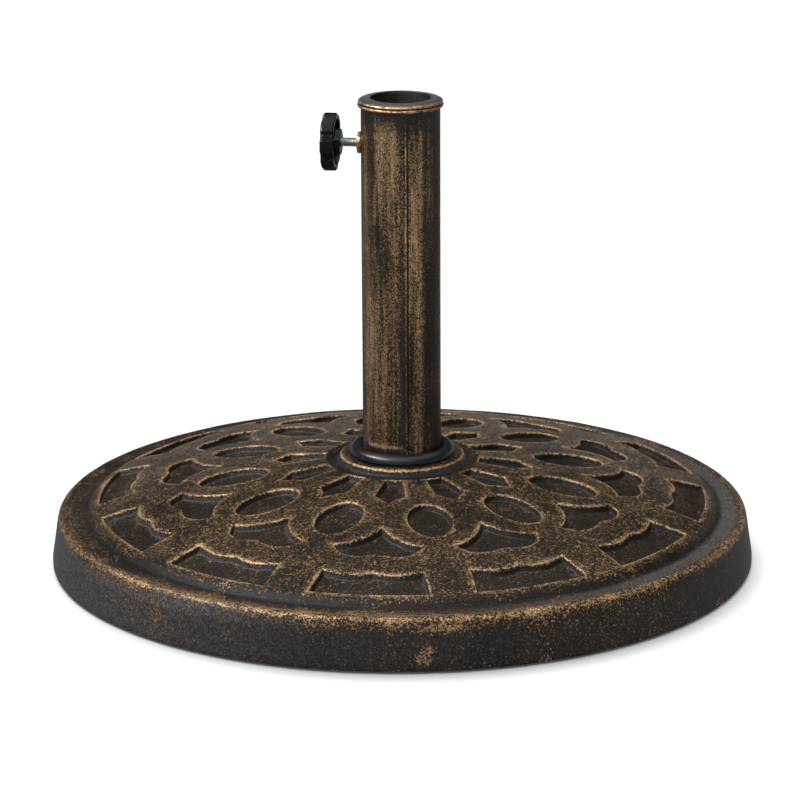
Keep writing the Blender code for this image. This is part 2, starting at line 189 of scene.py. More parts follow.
def bump(value, centre, width):
    """A smooth hill of height one."""
    return np.exp(-((value - centre) / width) ** 2)


def ripple(points, size, seed=0.0):
    """A smooth irregular field between about -1 and 1, with features of a given size."""
    x, y, z = (points[:, axis] / size for axis in range(3))
    return (np.sin(1.7 * x + 0.9 * y + seed) * np.sin(1.3 * y - 0.7 * z + 2.1 * seed + 0.5)
            + 0.6 * np.sin(2.9 * y - 1.1 * x + 1.3 * z + 0.4 * seed) * np.sin(2.3 * x + 1.9 * z + seed)) / 1.6


# ------------------------------------------------------------------ materials

class Nodes:
    """A short way to write the nodes of a material or world."""

    def __init__(self, owner, coordinates="Object"):
        owner.use_nodes = True
        self.owner = owner
        self.tree = owner.node_tree
        self.place = self.node("TexCoord", coordinates)

    def link(self, source, target):
        """Connect an output, or set a number, vector or colour."""
        if isinstance(source, bpy.types.NodeSocket):
            self.tree.links.new(source, target)
        elif source is not None:
            target.default_value = (*source, 1.0) if target.type == "RGBA" else source

    def node(self, kind, output, sockets=None, **settings):
        """An output of a new node, whose sockets are linked or set."""
        node = self.tree.nodes.new("ShaderNode" + kind)
        for name, value in settings.items():
            setattr(node, name, value)
        for name, value in (sockets or {}).items():
            self.link(value, node.inputs[name])
        return node.outputs[output]

    def scaled(self, scale):
        """The object's coordinates, stretched along each axis."""
        return self.node("Mapping", "Vector", {"Vector": self.place, "Scale": scale})

    def noise(self, scale, detail=2.0, roughness=0.5, distortion=0.0, vector=None):
        """Fractal noise, about 0.5 on average; scale is in features per metre."""
        return self.node("TexNoise", "Fac", {"Vector": vector or self.place, "Scale": scale, "Detail": detail,
                                             "Roughness": roughness, "Distortion": distortion})

    def cells(self, scale, vector):
        """Two random values for each grain of a packed pattern; scale is in grains per metre."""
        colour = self.node("TexVoronoi", "Color", {"Vector": vector, "Scale": scale})
        first = self.node("SeparateColor", 0, {0: colour})
        return first, first.node.outputs[1]

    def math(self, operation, first, second):
        """One sum on two values."""
        return self.node("Math", 0, {0: first, 1: second}, operation=operation)

    def plus(self, first, second):
        """Two values added."""
        return self.math("ADD", first, second)

    def times(self, first, second):
        """Two values multiplied."""
        return self.math("MULTIPLY", first, second)

    def remap(self, value, low, high, to_low=0.0, to_high=1.0, kind="SMOOTHSTEP"):
        """Spread a value between two limits."""
        return self.node("MapRange", "Result", {"Value": value, "From Min": low, "From Max": high,
                                                "To Min": to_low, "To Max": to_high}, interpolation_type=kind)

    def linear(self, value, to_low, to_high, low=0.3, high=0.7):
        """Spread a value evenly between two limits."""
        return self.remap(value, low, high, to_low, to_high, "LINEAR")

    def mix(self, factor, first, second):
        """Mix two colours."""
        return self.node("Mix", "Result", {"Factor": factor, "A": first, "B": second}, data_type="RGBA")

    def relief(self, height, distance, strength=0.5, normal=None):
        """Bump from a height between 0 and 1; distance is in metres."""
        return self.node("Bump", "Normal", {"Height": height, "Distance": distance, "Strength": strength,
                                            "Normal": normal})

    def finish(self, **sockets):
        """Connect the shader and give the material."""
        shader = self.tree.nodes["Principled BSDF"]
        for name, value in sockets.items():
            self.link(value, shader.inputs[name.replace("_", " ")])
        return self.owner


# a grey that stands both for grey paint and for painted sheen and painted light, as each mesh's grey value says
SLATE_GREY_AND_SHEEN = (0.1230, 0.1150, 0.1160)
UMBER_PAINT = (0.0300, 0.0210, 0.0135)
PIT_BLACK = (0.0020, 0.0018, 0.0016)
DIM_BRONZE = (0.1700, 0.1150, 0.0660)
BRONZE = (0.4300, 0.2600, 0.1250)
# pale bronze for the glints painted into the brightest grains
PAINTED_GLINT_BRONZE = (0.7200, 0.5200, 0.3100)


def bronzed(name, grain=880.0, stretch=1.0, streaks=0.0, softness=0.07, patchiness=0.09, brokenness=0.35,
            specular=0.17, sheen=0.35, bed=(0.0065, 0.0057, 0.0052)):
    """Dark paint under rubbed bronze: grains of bronze as dense and bright as the mesh's wear value says."""
    net = Nodes(bpy.data.materials.new(name))
    wear, slate = (net.node("Attribute", "Fac", attribute_name=label) for label in ("wear", "slate"))
    spread = net.noise(grain, 3.0, 0.7, 0.3, net.scaled((1.0, 1.0, stretch)))
    dots, tones = net.cells(grain * 1.15, net.scaled((1.0, 1.0, stretch)))
    grains = net.plus(net.times(net.linear(spread, 0.0, 1.0), 0.5), net.times(dots, 0.5))
    fine = net.noise(grain * 1.9, 1.0, 0.5)
    rubs = net.noise(330.0, 3.0, 0.6, 0.3)
    patches = net.noise(48.0, 4.0, 0.62, 0.5)
    drift = net.noise(14.0, 2.0, 0.5)
    # how much bronze there is
    amount = net.times(wear, net.linear(rubs, 1.0 - brokenness, 1.0 + brokenness, 0.32, 0.68))
    amount = net.plus(amount, net.linear(patches, -patchiness, patchiness))
    if streaks:
        broad = net.noise(190.0, 3.0, 0.6, 0.2, net.scaled((1.0, 1.0, 0.05)))
        narrow = net.noise(700.0, 2.0, 0.6, 0.1, net.scaled((1.0, 1.0, 0.035)))
        amount = net.plus(amount, net.linear(broad, -streaks, streaks))
        amount = net.plus(amount, net.linear(narrow, -0.6 * streaks, 0.6 * streaks))
    amount = net.math("MINIMUM", amount, 0.80)
    level = net.plus(grains, amount)
    fleck = net.remap(level, 1.0 - softness, 1.0 + softness)
    bright = net.remap(net.plus(tones, net.times(amount, 0.8)), 0.15, 1.05)
    # painted glints: the most worn grains turn pale bronze
    glint = net.remap(net.plus(net.times(tones, 0.7), amount), 0.95, 1.45)
    # the paint between the grains, from the pits to the places that the brush has just touched
    dark = net.mix(net.remap(drift, 0.35, 0.65), bed, [0.75 * c for c in UMBER_PAINT])
    dark = net.mix(net.remap(fine, 0.35, 0.65), PIT_BLACK, dark)
    dark = net.mix(net.remap(level, 0.58, 0.98), dark, UMBER_PAINT)
    # then grey paint, and painted sheen and painted light, as much as the mesh's grey value says
    dark = net.mix(net.times(slate, net.remap(grains, 0.25, 0.75, 0.35, 1.1)), dark, SLATE_GREY_AND_SHEEN)
    gold = net.mix(glint, net.mix(bright, DIM_BRONZE, BRONZE), PAINTED_GLINT_BRONZE)
    cast = net.relief(net.noise(260.0, 3.0, 0.55), 0.0006, 0.35)
    return net.finish(Base_Color=net.mix(net.times(fleck, 0.97), dark, gold), Specular_IOR_Level=specular,
                      Roughness=net.plus(net.linear(fine, 0.24, 0.36), net.remap(grains, 0.35, 0.65, 0.12, 0.0)),
                      Metallic=net.times(fleck, sheen), Normal=net.relief(grains, 0.0005, 0.6, cast))


def moulded(name, colour, lift, roughness, grain=1400.0, depth=0.00008, specular=0.5):
    """Plastic, rubber or satin paint with faint mottling and a fine texture."""
    net = Nodes(bpy.data.materials.new(name))
    mottling = net.noise(60.0, 3.0, 0.6)
    dust = net.remap(net.noise(900.0, 1.0, 0.5), 0.66, 0.74)
    tint = net.mix(net.remap(mottling, 0.3, 0.7), colour, lift)
    tint = net.mix(net.times(dust, 0.25), tint, [4.0 * c + 0.02 for c in lift])
    return net.finish(Base_Color=tint, Roughness=net.linear(mottling, roughness - 0.06, roughness + 0.07),
                      Normal=net.relief(net.noise(grain), depth), Specular_IOR_Level=specular)


def metal(name, colour, shade, roughness):
    """Bare or plated metal with brushed grain and light staining."""
    net = Nodes(bpy.data.materials.new(name))
    lines = net.noise(900.0, 3.0, 0.6)
    stains = net.noise(45.0, 4.0, 0.65, 0.5)
    tint = net.mix(net.remap(stains, 0.4, 0.75), colour, shade)
    tint = net.mix(net.times(net.remap(lines, 0.4, 0.7), 0.3), tint, shade)
    rough = net.plus(net.linear(lines, roughness - 0.05, roughness + 0.1), net.remap(stains, 0.45, 0.75, 0.0, 0.15))
    return net.finish(Base_Color=tint, Roughness=rough, Metallic=1.0, Normal=net.relief(lines, 0.00006))


CAST_PAINT = bronzed("cast_bronze_paint", grain=990.0, softness=0.06, brokenness=0.22)
TUBE_PAINT = bronzed("tube_bronze_paint", grain=1900.0, stretch=0.7, streaks=0.17, softness=0.16,
                     patchiness=0.06, brokenness=0.15, bed=(0.0200, 0.0145, 0.0095))
COLLAR_PAINT = bronzed("collar_bronze_paint", grain=820.0, softness=0.10, patchiness=0.14, brokenness=0.45,
                       specular=1.0, sheen=0.95)
SATIN_BLACK = moulded("satin_black_plastic", (0.0075, 0.0082, 0.0098), (0.012, 0.0130, 0.0155), 0.36, specular=0.46)
KNOB_BLACK = moulded("knob_black_plastic", (0.0020, 0.0020, 0.0023), (0.0042, 0.0042, 0.0046), 0.24, specular=0.26)
RUBBER = moulded("foot_rubber", (0.012, 0.012, 0.012), (0.026, 0.025, 0.024), 0.78, 700.0, 0.0002, 0.3)
ZINC = metal("zinc_plating", (0.62, 0.67, 0.66), (0.42, 0.44, 0.40), 0.26)
STEEL = metal("mill_steel", (0.36, 0.35, 0.34), (0.16, 0.14, 0.12), 0.42)
BRASS = metal("turned_brass", (0.62, 0.47, 0.24), (0.40, 0.28, 0.13), 0.34)


# ------------------------------------------------------------------ the cast disc

SPOKE_LINE = np.array((math.sin(HALF_SECTOR), math.cos(HALF_SECTOR)))
SPOKE_RIGHT = np.array((math.cos(HALF_SECTOR), -math.sin(HALF_SECTOR)))


def smooth_run(points, step):
    """A Catmull-Rom curve through points."""
    points = np.array(points, float)
    guide = np.vstack([2 * points[0] - points[1], points, 2 * points[-1] - points[-2]])
    out = []
    for a, b, c, d in zip(guide, guide[1:], guide[2:], guide[3:]):
        count = max(2, int(np.hypot(*(c - b)) / step + 0.5))
        for t in np.arange(count) / count:
            out.append(0.5 * (2 * b + (c - a) * t + (2 * a - 5 * b + 4 * c - d) * t * t
                              + (3 * b - a - 3 * c + d) * t ** 3))
    out.append(points[-1])
    return np.array(out)


def straight_run(start, end, step):
    """Evenly spaced points from start to end."""
    start, end = np.array(start, float), np.array(end, float)
    count = max(1, int(np.hypot(*(end - start)) / step + 0.5))
    return start + (end - start) * np.linspace(0.0, 1.0, count + 1)[:, None]


def arc_run(radius, start, end, count):
    """Points on a circle about the base's axis; angles run from the sector's centre line."""
    angles = np.linspace(start, end, count + 1)
    return np.stack([radius * np.sin(angles), radius * np.cos(angles)], -1)


def ring_point(degrees):
    """A point on the outer edge of the oval ring, counted from its outer end."""
    angle = math.radians(degrees)
    return ((RING_CENTRE_R + RING_HALF_SIZES[0] * math.cos(angle)) * SPOKE_LINE
            - RING_HALF_SIZES[1] * math.sin(angle) * SPOKE_RIGHT)


def ring_run(start, end, step):
    """Points along the oval ring's outer edge."""
    count = max(2, int(abs(math.radians(end - start)) * sum(RING_HALF_SIZES) / 2 / step + 0.5))
    return np.array([ring_point(angle) for angle in np.linspace(start, end, count + 1)])


def ring_meets_centre_line(low, high):
    """The angle at which the oval ring's edge crosses the sector's centre line."""
    for _ in range(50):
        middle = (low + high) / 2.0
        if (ring_point(middle)[0] > 0.0) == (ring_point(low)[0] > 0.0):
            low = middle
        else:
            high = middle
    return low


def spoke_point(radius):
    """A point on the spoke's near side."""
    along = math.sqrt(radius * radius - SPOKE_HALF_WIDTH ** 2)
    return along * SPOKE_LINE - SPOKE_HALF_WIDTH * SPOKE_RIGHT


def pocket_halves(step):
    """Half outlines of the pockets that cross the sector's centre line, and of the oval on its spoke, as runs."""
    corner, inner = spoke_point(OUTER_POCKET_R), spoke_point(OUTER_POCKET_INNER_R)
    span = math.atan2(*corner)
    outer = [arc_run(OUTER_POCKET_R, 0.0, span, int(OUTER_POCKET_R * span / step)),
             straight_run(corner, inner, step), smooth_run([inner, *SCALLOP_EDGE], step)]
    tip = ring_meets_centre_line(60.0, 100.0)
    bell = [smooth_run([*BELL_TOP, ring_point(BELL_CORNER_ANGLE)], step), ring_run(BELL_CORNER_ANGLE, tip, step)]
    kite_tip = ring_meets_centre_line(150.0, 120.0)
    foot = np.array((KITE_FOOT_X, math.sqrt(HUB_STEP_R ** 2 - KITE_FOOT_X ** 2)))
    kite = [ring_run(kite_tip, KITE_CORNER_ANGLE, step), straight_run(ring_point(KITE_CORNER_ANGLE), foot, step),
            arc_run(HUB_STEP_R, math.atan2(*foot), 0.0, 6)]
    turn = np.linspace(0.0, math.pi, 64)[:, None]
    oval = [(OVAL_CENTRE_R + OVAL_HALF_SIZES[0] * np.cos(turn)) * SPOKE_LINE
            - OVAL_HALF_SIZES[1] * np.sin(turn) * SPOKE_RIGHT]
    return [outer, bell, kite], oval


def across_spoke(points):
    """Mirror points in the spoke's line."""
    return (points @ SPOKE_LINE)[:, None] * SPOKE_LINE - (points @ SPOKE_RIGHT)[:, None] * SPOKE_RIGHT


def closed_outlines(halves, oval):
    """Closed outlines of every pocket that reaches into or near the half sector."""
    outlines = []
    for runs in halves:
        half = np.vstack([run[:-1] for run in runs] + [runs[-1][-1:]])
        whole = np.vstack([half, (half * (-1.0, 1.0))[::-1][1:-1]])
        outlines += [whole, across_spoke(whole)]
    whole = np.vstack([oval[0], across_spoke(oval[0][::-1])[1:-1]])
    return outlines + [whole, whole * (-1.0, 1.0)]


def pocket_distance(points, outlines):
    """Distance from each point to the nearest outline, negative inside a pocket."""
    points = np.asarray(points, float)
    nearest = np.full(len(points), 1e9)
    inside = np.zeros(len(points), bool)
    for start in outlines:
        end = np.roll(start, -1, 0)
        edge = end - start
        length = (edge ** 2).sum(1)
        rise = np.where(edge[:, 1] == 0.0, 1e-12, edge[:, 1])
        for first in range(0, len(points), 4000):
            block = points[first:first + 4000]
            offset = block[:, None, :] - start
            along = np.clip((offset * edge).sum(2) / length, 0.0, 1.0)
            gap = ((offset - along[..., None] * edge) ** 2).sum(2).min(1)
            nearest[first:first + 4000] = np.minimum(nearest[first:first + 4000], gap)
            x, y = block[:, :1], block[:, 1:]
            crossed = ((start[:, 1] > y) != (end[:, 1] > y)) & (x < edge[:, 0] * (y - start[:, 1]) / rise + start[:, 0])
            inside[first:first + 4000] |= crossed.sum(1) % 2 == 1
    return np.where(inside, -np.sqrt(nearest), np.sqrt(nearest))


def level_points(halves, oval, levels, outlines):
    """Points at set distances from the outlines, with fans and mitres round the corners."""
    found = []
    for runs in [*halves, oval]:
        sides = []
        for run in runs:
            tangent = np.gradient(run, axis=0)
            tangent /= np.hypot(tangent[:, 0], tangent[:, 1])[:, None]
            normal = np.stack([-tangent[:, 1], tangent[:, 0]], -1)
            middle = len(run) // 2
            if pocket_distance((run[middle] + 0.3 * normal[middle])[None], outlines)[0] < 0.0:
                normal = -normal
            sides.append((run, normal))
            for level in levels:
                found.append(np.column_stack([run + level * normal, np.full(len(run), level)]))
        for (run, normal), (_, next_normal) in zip(sides, sides[1:]):
            corner, first, last = run[-1], normal[-1], next_normal[0]
            bend = math.acos(max(-1.0, min(1.0, float(first @ last))))
            if bend < math.radians(12.0):
                continue
            count = max(2, int(bend / math.radians(15.0)))
            spread = [first * (1 - k / count) + last * (k / count) for k in range(1, count)]
            middle = first + last
            for level in levels:
                for direction in spread:
                    found.append(np.array([[*(corner + level * direction / np.hypot(*direction)), level]]))
                found.append(np.array([[*(corner + level * middle / float(middle @ first)), level]]))
    found = np.vstack(found)
    gap = pocket_distance(found[:, :2], outlines)
    return found[np.abs(gap - found[:, 2]) < 0.04][:, :2]


def boundary_run(direction, levels, outlines):
    """Points along one straight side of the half sector, with one at each crossing of a level."""
    fine = 0.05
    radii = np.arange(RELIEF_IN, RELIEF_OUT + 1e-9, fine)
    gap = pocket_distance(radii[:, None] * direction, outlines)
    crossings = []
    for level in levels:
        part = gap - level
        where = np.nonzero(part[:-1] * part[1:] < 0.0)[0]
        crossings += list(radii[where] + fine * np.abs(part[where]) / (np.abs(part[where]) + np.abs(part[where + 1])))
    out = [RELIEF_IN]
    for radius in sorted(crossings) + [RELIEF_OUT]:
        if radius - out[-1] < 0.12:
            continue
        count = int((radius - out[-1]) / FILL_STEP)
        out += [out[-1] + (radius - out[-1]) * k / (count + 1) for k in range(1, count + 1)]
        out.append(radius)
    out[-1] = RELIEF_OUT
    return np.array(out)[:, None] * direction


def spaced(points, kept, distance):
    """Drop points closer than a distance to a kept or earlier one."""
    cells = {}

    def cell(point):
        return int(math.floor(point[0] / distance)), int(math.floor(point[1] / distance))

    for point in kept:
        cells.setdefault(cell(point), []).append(point)
    out = []
    for point in points:
        column, row = cell(point)
        near = (other for i in (-1, 0, 1) for j in (-1, 0, 1) for other in cells.get((column + i, row + j), ()))
        if all((other[0] - point[0]) ** 2 + (other[1] - point[1]) ** 2 >= distance ** 2 for other in near):
            cells.setdefault((column, row), []).append(point)
            out.append(point)
    return np.array(out)


def relief_wedge():
    """Triangles over half a sector, and each point's distance from the pockets' outlines."""
    halves, oval = pocket_halves(OUTLINE_STEP)
    outlines = closed_outlines(halves, oval)
    levels = [level for level, _ in WALL_SECTION]
    inner = arc_run(RELIEF_IN, 0.0, HALF_SECTOR, ARC_DIVISIONS)
    outer = arc_run(RELIEF_OUT, 0.0, HALF_SECTOR, ARC_DIVISIONS)
    middle_side = boundary_run(np.array((0.0, 1.0)), levels, outlines)
    spoke_side = boundary_run(SPOKE_LINE, levels, outlines)
    border = np.vstack([middle_side, outer[1:-1], spoke_side[::-1], inner[1:-1][::-1]])

    def within(points, side, low, high):
        radius = np.hypot(points[:, 0], points[:, 1])
        from_spoke = -(points @ SPOKE_RIGHT)
        return points[(points[:, 0] > side) & (from_spoke > side) & (radius > RELIEF_IN + low)
                      & (radius < RELIEF_OUT - high)]

    on_levels = spaced(within(level_points(halves, oval, levels, outlines), 0.25, 0.3, 0.8), border, 0.17)
    fill = [(0.6 + FILL_STEP * (column + 0.5 * (row % 2)), RELIEF_IN + FILL_STEP * 0.866 * row)
            for row in range(int((RELIEF_OUT - RELIEF_IN) / FILL_STEP / 0.866) + 1) for column in range(20)]
    fill = within(np.array(fill), 0.9, 1.2, 1.5)
    gap = pocket_distance(fill, outlines)
    fill = spaced(fill[(gap > 2.6) | (gap < -3.3)], np.vstack([border, on_levels]), 1.1)
    points = np.vstack([border, on_levels, fill])
    edges = [(index, (index + 1) % len(border)) for index in range(len(border))]
    flat, _, faces, _, _, _ = geometry.delaunay_2d_cdt([Vector(point) for point in points], edges, [], 1, 1e-6)
    flat = np.array([tuple(point) for point in flat])
    return flat, faces, pocket_distance(flat, outlines)


def dome_height(radius):
    """The smooth surface that the relief is cut into."""
    radii, heights = np.array(DOME).T
    curve = np.polyfit(radii, heights, 4)
    return np.polyval(curve, radius)


# azimuths in degrees and the painted light on the pockets' walls, bright at the left and dark at the right, and the
# painted sheen on the rim's channel, bright at the right
WALL_PAINTED_LIGHT = ((0.0, 40.0, 90.0, 130.0, 165.0, 230.0, 262.0, 290.0, 320.0, 360.0),
              (0.30, 0.34, 0.45, 0.75, 1.00, 1.00, 0.66, 0.52, 0.34, 0.30))
CHANNEL_PAINTED_SHEEN = ((0.0, 45.0, 75.0, 110.0, 250.0, 275.0, 295.0, 315.0, 360.0),
                 (0.70, 0.60, 0.35, 0.08, 0.00, 0.04, 0.36, 0.68, 0.70))
# azimuths and how much the rim is rubbed there
RIM_RUB = ((0.0, 60.0, 120.0, 170.0, 215.0, 262.0, 280.0, 305.0, 325.0, 345.0, 360.0),
           (0.95, 0.75, 0.66, 0.85, 1.08, 1.10, 1.16, 1.12, 1.08, 1.05, 0.95))


def build_disc():
    """The casting: relief, rim, wall, underside with counterbore and the hub, as one closed mesh."""
    flat, faces, gap = relief_wedge()
    radius = np.hypot(flat[:, 0], flat[:, 1])
    height = dome_height(radius) + np.interp(gap, *np.array(WALL_SECTION).T)
    height = np.where(radius < RELIEF_IN + 0.02, dome_height(RELIEF_IN), height)
    edge = np.interp(gap, (-0.6, -0.25, 0.05, 0.5, 1.3, 2.8), (0.0, 0.18, 0.33, 0.31, 0.17, 0.0))
    wall = np.interp(gap, (-1.9, -1.2, -0.5, -0.1), (0.0, 1.0, 1.0, 0.0))
    floor = np.interp(gap, (-3.0, -1.9), (1.0, 0.0))
    copies, triangles = [], []
    for sector in range(SECTORS):
        azimuth = SPOKE_AZIMUTH + HALF_SECTOR * (1 + 2 * sector)
        for side, order in ((1.0, (0, 2, 1)), (-1.0, (0, 1, 2))):
            across, along = side * flat[:, 0], flat[:, 1]
            shift = len(copies) * len(flat)
            triangles += [[face[k] + shift for k in order] for face in faces]
            copies.append(np.column_stack([across * math.sin(azimuth) + along * math.cos(azimuth),
                                           along * math.sin(azimuth) - across * math.cos(azimuth), height]))
    count, relief_count = len(copies), len(copies) * len(flat)

    # profile rows: radius, height, wear, and the grey of paint and painted sheen
    rows = [(RELIEF_OUT, dome_height(RELIEF_OUT), 0.27, 0.0), (199.6, 37.2, 0.26, 0.0), (200.8, 35.8, 0.19, 0.0),
            (202.0, 34.1, 0.12, 0.0), (203.3, 33.2, 0.12, 0.0), (204.6, 32.8, 0.18, 0.35), (206.5, 32.6, 0.20, 1.0),
            (209.5, 32.5, 0.22, 1.0), (212.0, 32.6, 0.25, 1.0), (213.3, 32.85, 0.38, 0.8), (214.5, 33.15, 0.28, 0.6),
            (216.0, 33.5, 0.36, 0.2), (217.4, 33.6, 0.40, 0.0), (218.8, 33.15, 0.45, 0.0), (220.0, 32.1, 0.48, 0.0),
            (220.8, 30.6, 0.38, 0.0), (221.35, 28.6, 0.22, 0.03), (221.75, 26.4, 0.15, 0.08),
            (222.1, 24.2, 0.13, 0.10)]
    rows += [(222.4 + (DISC_R - 222.4) * t, 21.8 - 16.8 * t, 0.13, 0.11) for t in np.arange(10) / 9.0]
    rows += [(DISC_R, 2.6, 0.14, 0.05), (DISC_R - 0.15, 1.9, 0.20, 0.0), (DISC_R - 0.5, DISC_BOTTOM, 0.16, 0.1),
             (DISC_R - 1.5, DISC_BOTTOM, 0.10, 0.2)]
    rows += [(radius, DISC_BOTTOM, 0.08, 0.3) for radius in (212.0, 196.0, 170.0, 140.0, 110.0, 80.0, 50.0, 30.0)]
    rows += [(COUNTERBORE_R + 0.6, DISC_BOTTOM, 0.1, 0.3), (COUNTERBORE_R, DISC_BOTTOM + 0.6, 0.1, 0.3),
             (COUNTERBORE_R, COUNTERBORE_TOP, 0.02, 0.4), (SLEEVE_BORE_R, COUNTERBORE_TOP, 0.02, 0.4),
             (SLEEVE_BORE_R, TUBE_SEAT_Z, 0.0, 0.4), (SEAT_R, TUBE_SEAT_Z, 0.0, 0.4), (SEAT_R, HUB_TOP, 0.1, 0.1),
             (30.0, HUB_TOP, 0.18, 0.05), (34.8, 68.8, 0.22, 0.0), (37.0, 68.65, 0.24, 0.0), (38.3, 68.4, 0.34, 0.0),
             (39.0, 68.0, 0.62, 0.0), (39.6, 67.4, 0.66, 0.0), (40.0, 66.7, 0.26, 0.25), (40.3, 65.6, 0.16, 0.45),
             (40.7, 64.5, 0.12, 0.40), (41.6, 63.8, 0.12, 0.15), (43.5, 63.6, 0.20, 0.0), (46.6, 63.55, 0.24, 0.0),
             (47.8, 63.8, 0.20, 0.05), (48.4, 64.4, 0.30, 0.0), (RELIEF_IN, dome_height(RELIEF_IN), 0.32, 0.0)]
    rows = np.array(rows)
    columns = 2 * SECTORS * ARC_DIVISIONS
    turned, rings = lathe_grid(rows[:, :2], columns, closed=False, phase=SPOKE_AZIMUTH)
    triangles += [[vertex + relief_count for vertex in face] for face in rings]
    points = np.vstack([*copies, turned])
    radius, azimuth = polar(points)
    height = points[:, 2].copy()
    wear = 0.31 + edge - 0.27 * wall - 0.12 * floor
    wear = np.concatenate([np.tile(wear, count), np.repeat(rows[:, 2], columns)])
    # painted light on the pockets' walls: grey where they face the light at the left, and dark where they face right
    corners = np.array(triangles[:len(faces) * count])
    facing = np.zeros((relief_count, 3))
    for k in range(3):
        np.add.at(facing, corners[:, k], np.cross(points[corners[:, 1]] - points[corners[:, 0]],
                                                  points[corners[:, 2]] - points[corners[:, 0]]))
    facing = facing[:, 0] * np.sign(facing[:, 2]) / np.maximum(np.linalg.norm(facing, axis=1), 1e-9)
    slate = np.interp(azimuth[:relief_count], *WALL_PAINTED_LIGHT) * np.tile(wall, count) + 0.03 * np.tile(floor, count)
    slate = np.clip(slate, 0.0, 1.0) * np.interp(facing, (-0.45, 0.0, 0.45), (1.3, 0.9, 0.15))
    slate = np.concatenate([slate, np.repeat(rows[:, 3], columns)])

    wear[:relief_count] += 0.5 * np.tile(edge, count) * ripple(points[:relief_count], 12.0, 0.4)
    on_wall = (radius > 221.0) & (height > DISC_BOTTOM + 0.5) & (height < 29.0)
    # the rim is rubbed most towards the front and least at the back and the right
    wear *= np.where((radius > 212.5) & (height > 25.0), np.interp(azimuth, *RIM_RUB), 1.0)
    channel = (radius > 203.9) & (radius < 216.6) & (height > 30.0)
    # painted sheen in the rim's channel: grey at the right, dark at the left
    slate *= np.where(channel, np.interp(azimuth, *CHANNEL_PAINTED_SHEEN), 1.0)
    wear += 0.20 * channel * np.interp(radius, (205.0, 207.5), (0.0, 1.0)) * bump(azimuth, 255.0, 38.0)
    wear -= 0.04 * channel * np.interp(azimuth, (285.0, 310.0, 360.0), (0.0, 1.0, 1.0))
    wear += (radius > 38.0) * (radius < 40.0) * 0.16 * (bump(azimuth, 235.0, 28.0) + bump(azimuth, 285.0, 22.0))
    # rubbed patches on the wall: amount, azimuth and its spread, height and its spread
    for amount, where, width, level, spread in ((0.42, 273.6, 1.1, 13.0, 6.0), (0.34, 272.6, 0.9, 8.0, 3.5),
                                                (0.34, 276.0, 5.0, 27.0, 3.0), (0.20, 262.0, 9.0, 28.0, 2.5)):
        wear += amount * on_wall * bump(azimuth, where, width) * bump(height, level, spread)
    wear += on_wall * 0.11 * bump(azimuth, 222.0, 17.0) * np.interp(height, (7.0, 20.0), (0.0, 1.0))
    wear += on_wall * 0.10 * bump(azimuth, 300.0, 18.0) * np.interp(height, (2.0, 8.0, 24.0), (1.2, 0.4, 0.8))
    # painted sheen on the outer wall at the left
    slate += on_wall * 0.48 * bump(azimuth, 215.0, 40.0)
    # painted highlight along the rim's outer edge at the front left
    slate += 0.35 * (radius > 217.0) * (height > 24.0) * bump(azimuth, 228.0, 20.0)
    # a painted glare on the lip's shoulder at the front left: grey, with less bronze
    shoulder = bump(azimuth, 239.0, 13.0) * bump(radius, 220.5, 0.75) * (height > 24.0)
    slate += 1.1 * shoulder
    wear += np.where(radius > 212.0, 0.07 * ripple(points, 17.0, 0.7), 0.05 * ripple(points, 30.0, 2.0))
    # a chip in the foot of the wall
    chip = on_wall * bump(azimuth, 330.5, 0.9) * bump(height, 3.5, 2.2)
    # more bronze in the chip, and less under the painted glare on the shoulder
    wear += 0.5 * chip - 0.24 * shoulder
    top = np.clip((height - 20.0) / 15.0, 0.0, 1.0) * np.clip((radius - 44.0) / 20.0, 0.0, 1.0)
    points[:, 2] += 0.16 * top * ripple(points * (1.0, 1.0, 0.0), 16.0, 1.1)
    sag = 1.0 - (0.10 * on_wall * (1.0 + ripple(points, 24.0, 3.0)) + 1.4 * chip) / np.maximum(radius, 1.0)
    points[:, :2] *= sag[:, None]

    disc = make_mesh("cast_disc", "weight_disc", points, triangles, "bronze_paint", CAST_PAINT, sharp=60.0,
                     wear=np.clip(wear, 0.0, 1.1), slate=np.clip(slate, 0.0, 1.0))
    # join the points along the seams
    edit = bmesh.new()
    edit.from_mesh(disc.data)
    bmesh.ops.remove_doubles(edit, verts=edit.verts, dist=0.01 * MM)
    bmesh.ops.recalc_face_normals(edit, faces=edit.faces)
    edit.to_mesh(disc.data)
    edit.free()
    disc.data.shade_smooth()
    disc.data.set_sharp_from_angle(angle=math.radians(60.0))


# ------------------------------------------------------------------ turned pieces

def turned_piece(name, node, profile, steps, slot, material, edge=0.25, closed=True, body="base", matrix=None,
                 wear=None, slate=None):
    """A turned piece with softened edges. wear, and the grey of paint and painted sheen, take the points and give a
    value for each.
    """
    points, faces = lathe_grid(rounded(profile, edge, closed), steps, closed)
    values = {}
    if wear:
        values = {"wear": np.clip(wear(points), 0.0, 1.2), "slate": slate(points) if slate else np.zeros(len(points))}
    make_mesh(name, node, points, faces, slot, material, body, matrix, 50.0, **values)


SEAM_AZIMUTH = 279.4
FOOT_STEP_Z = 78.2


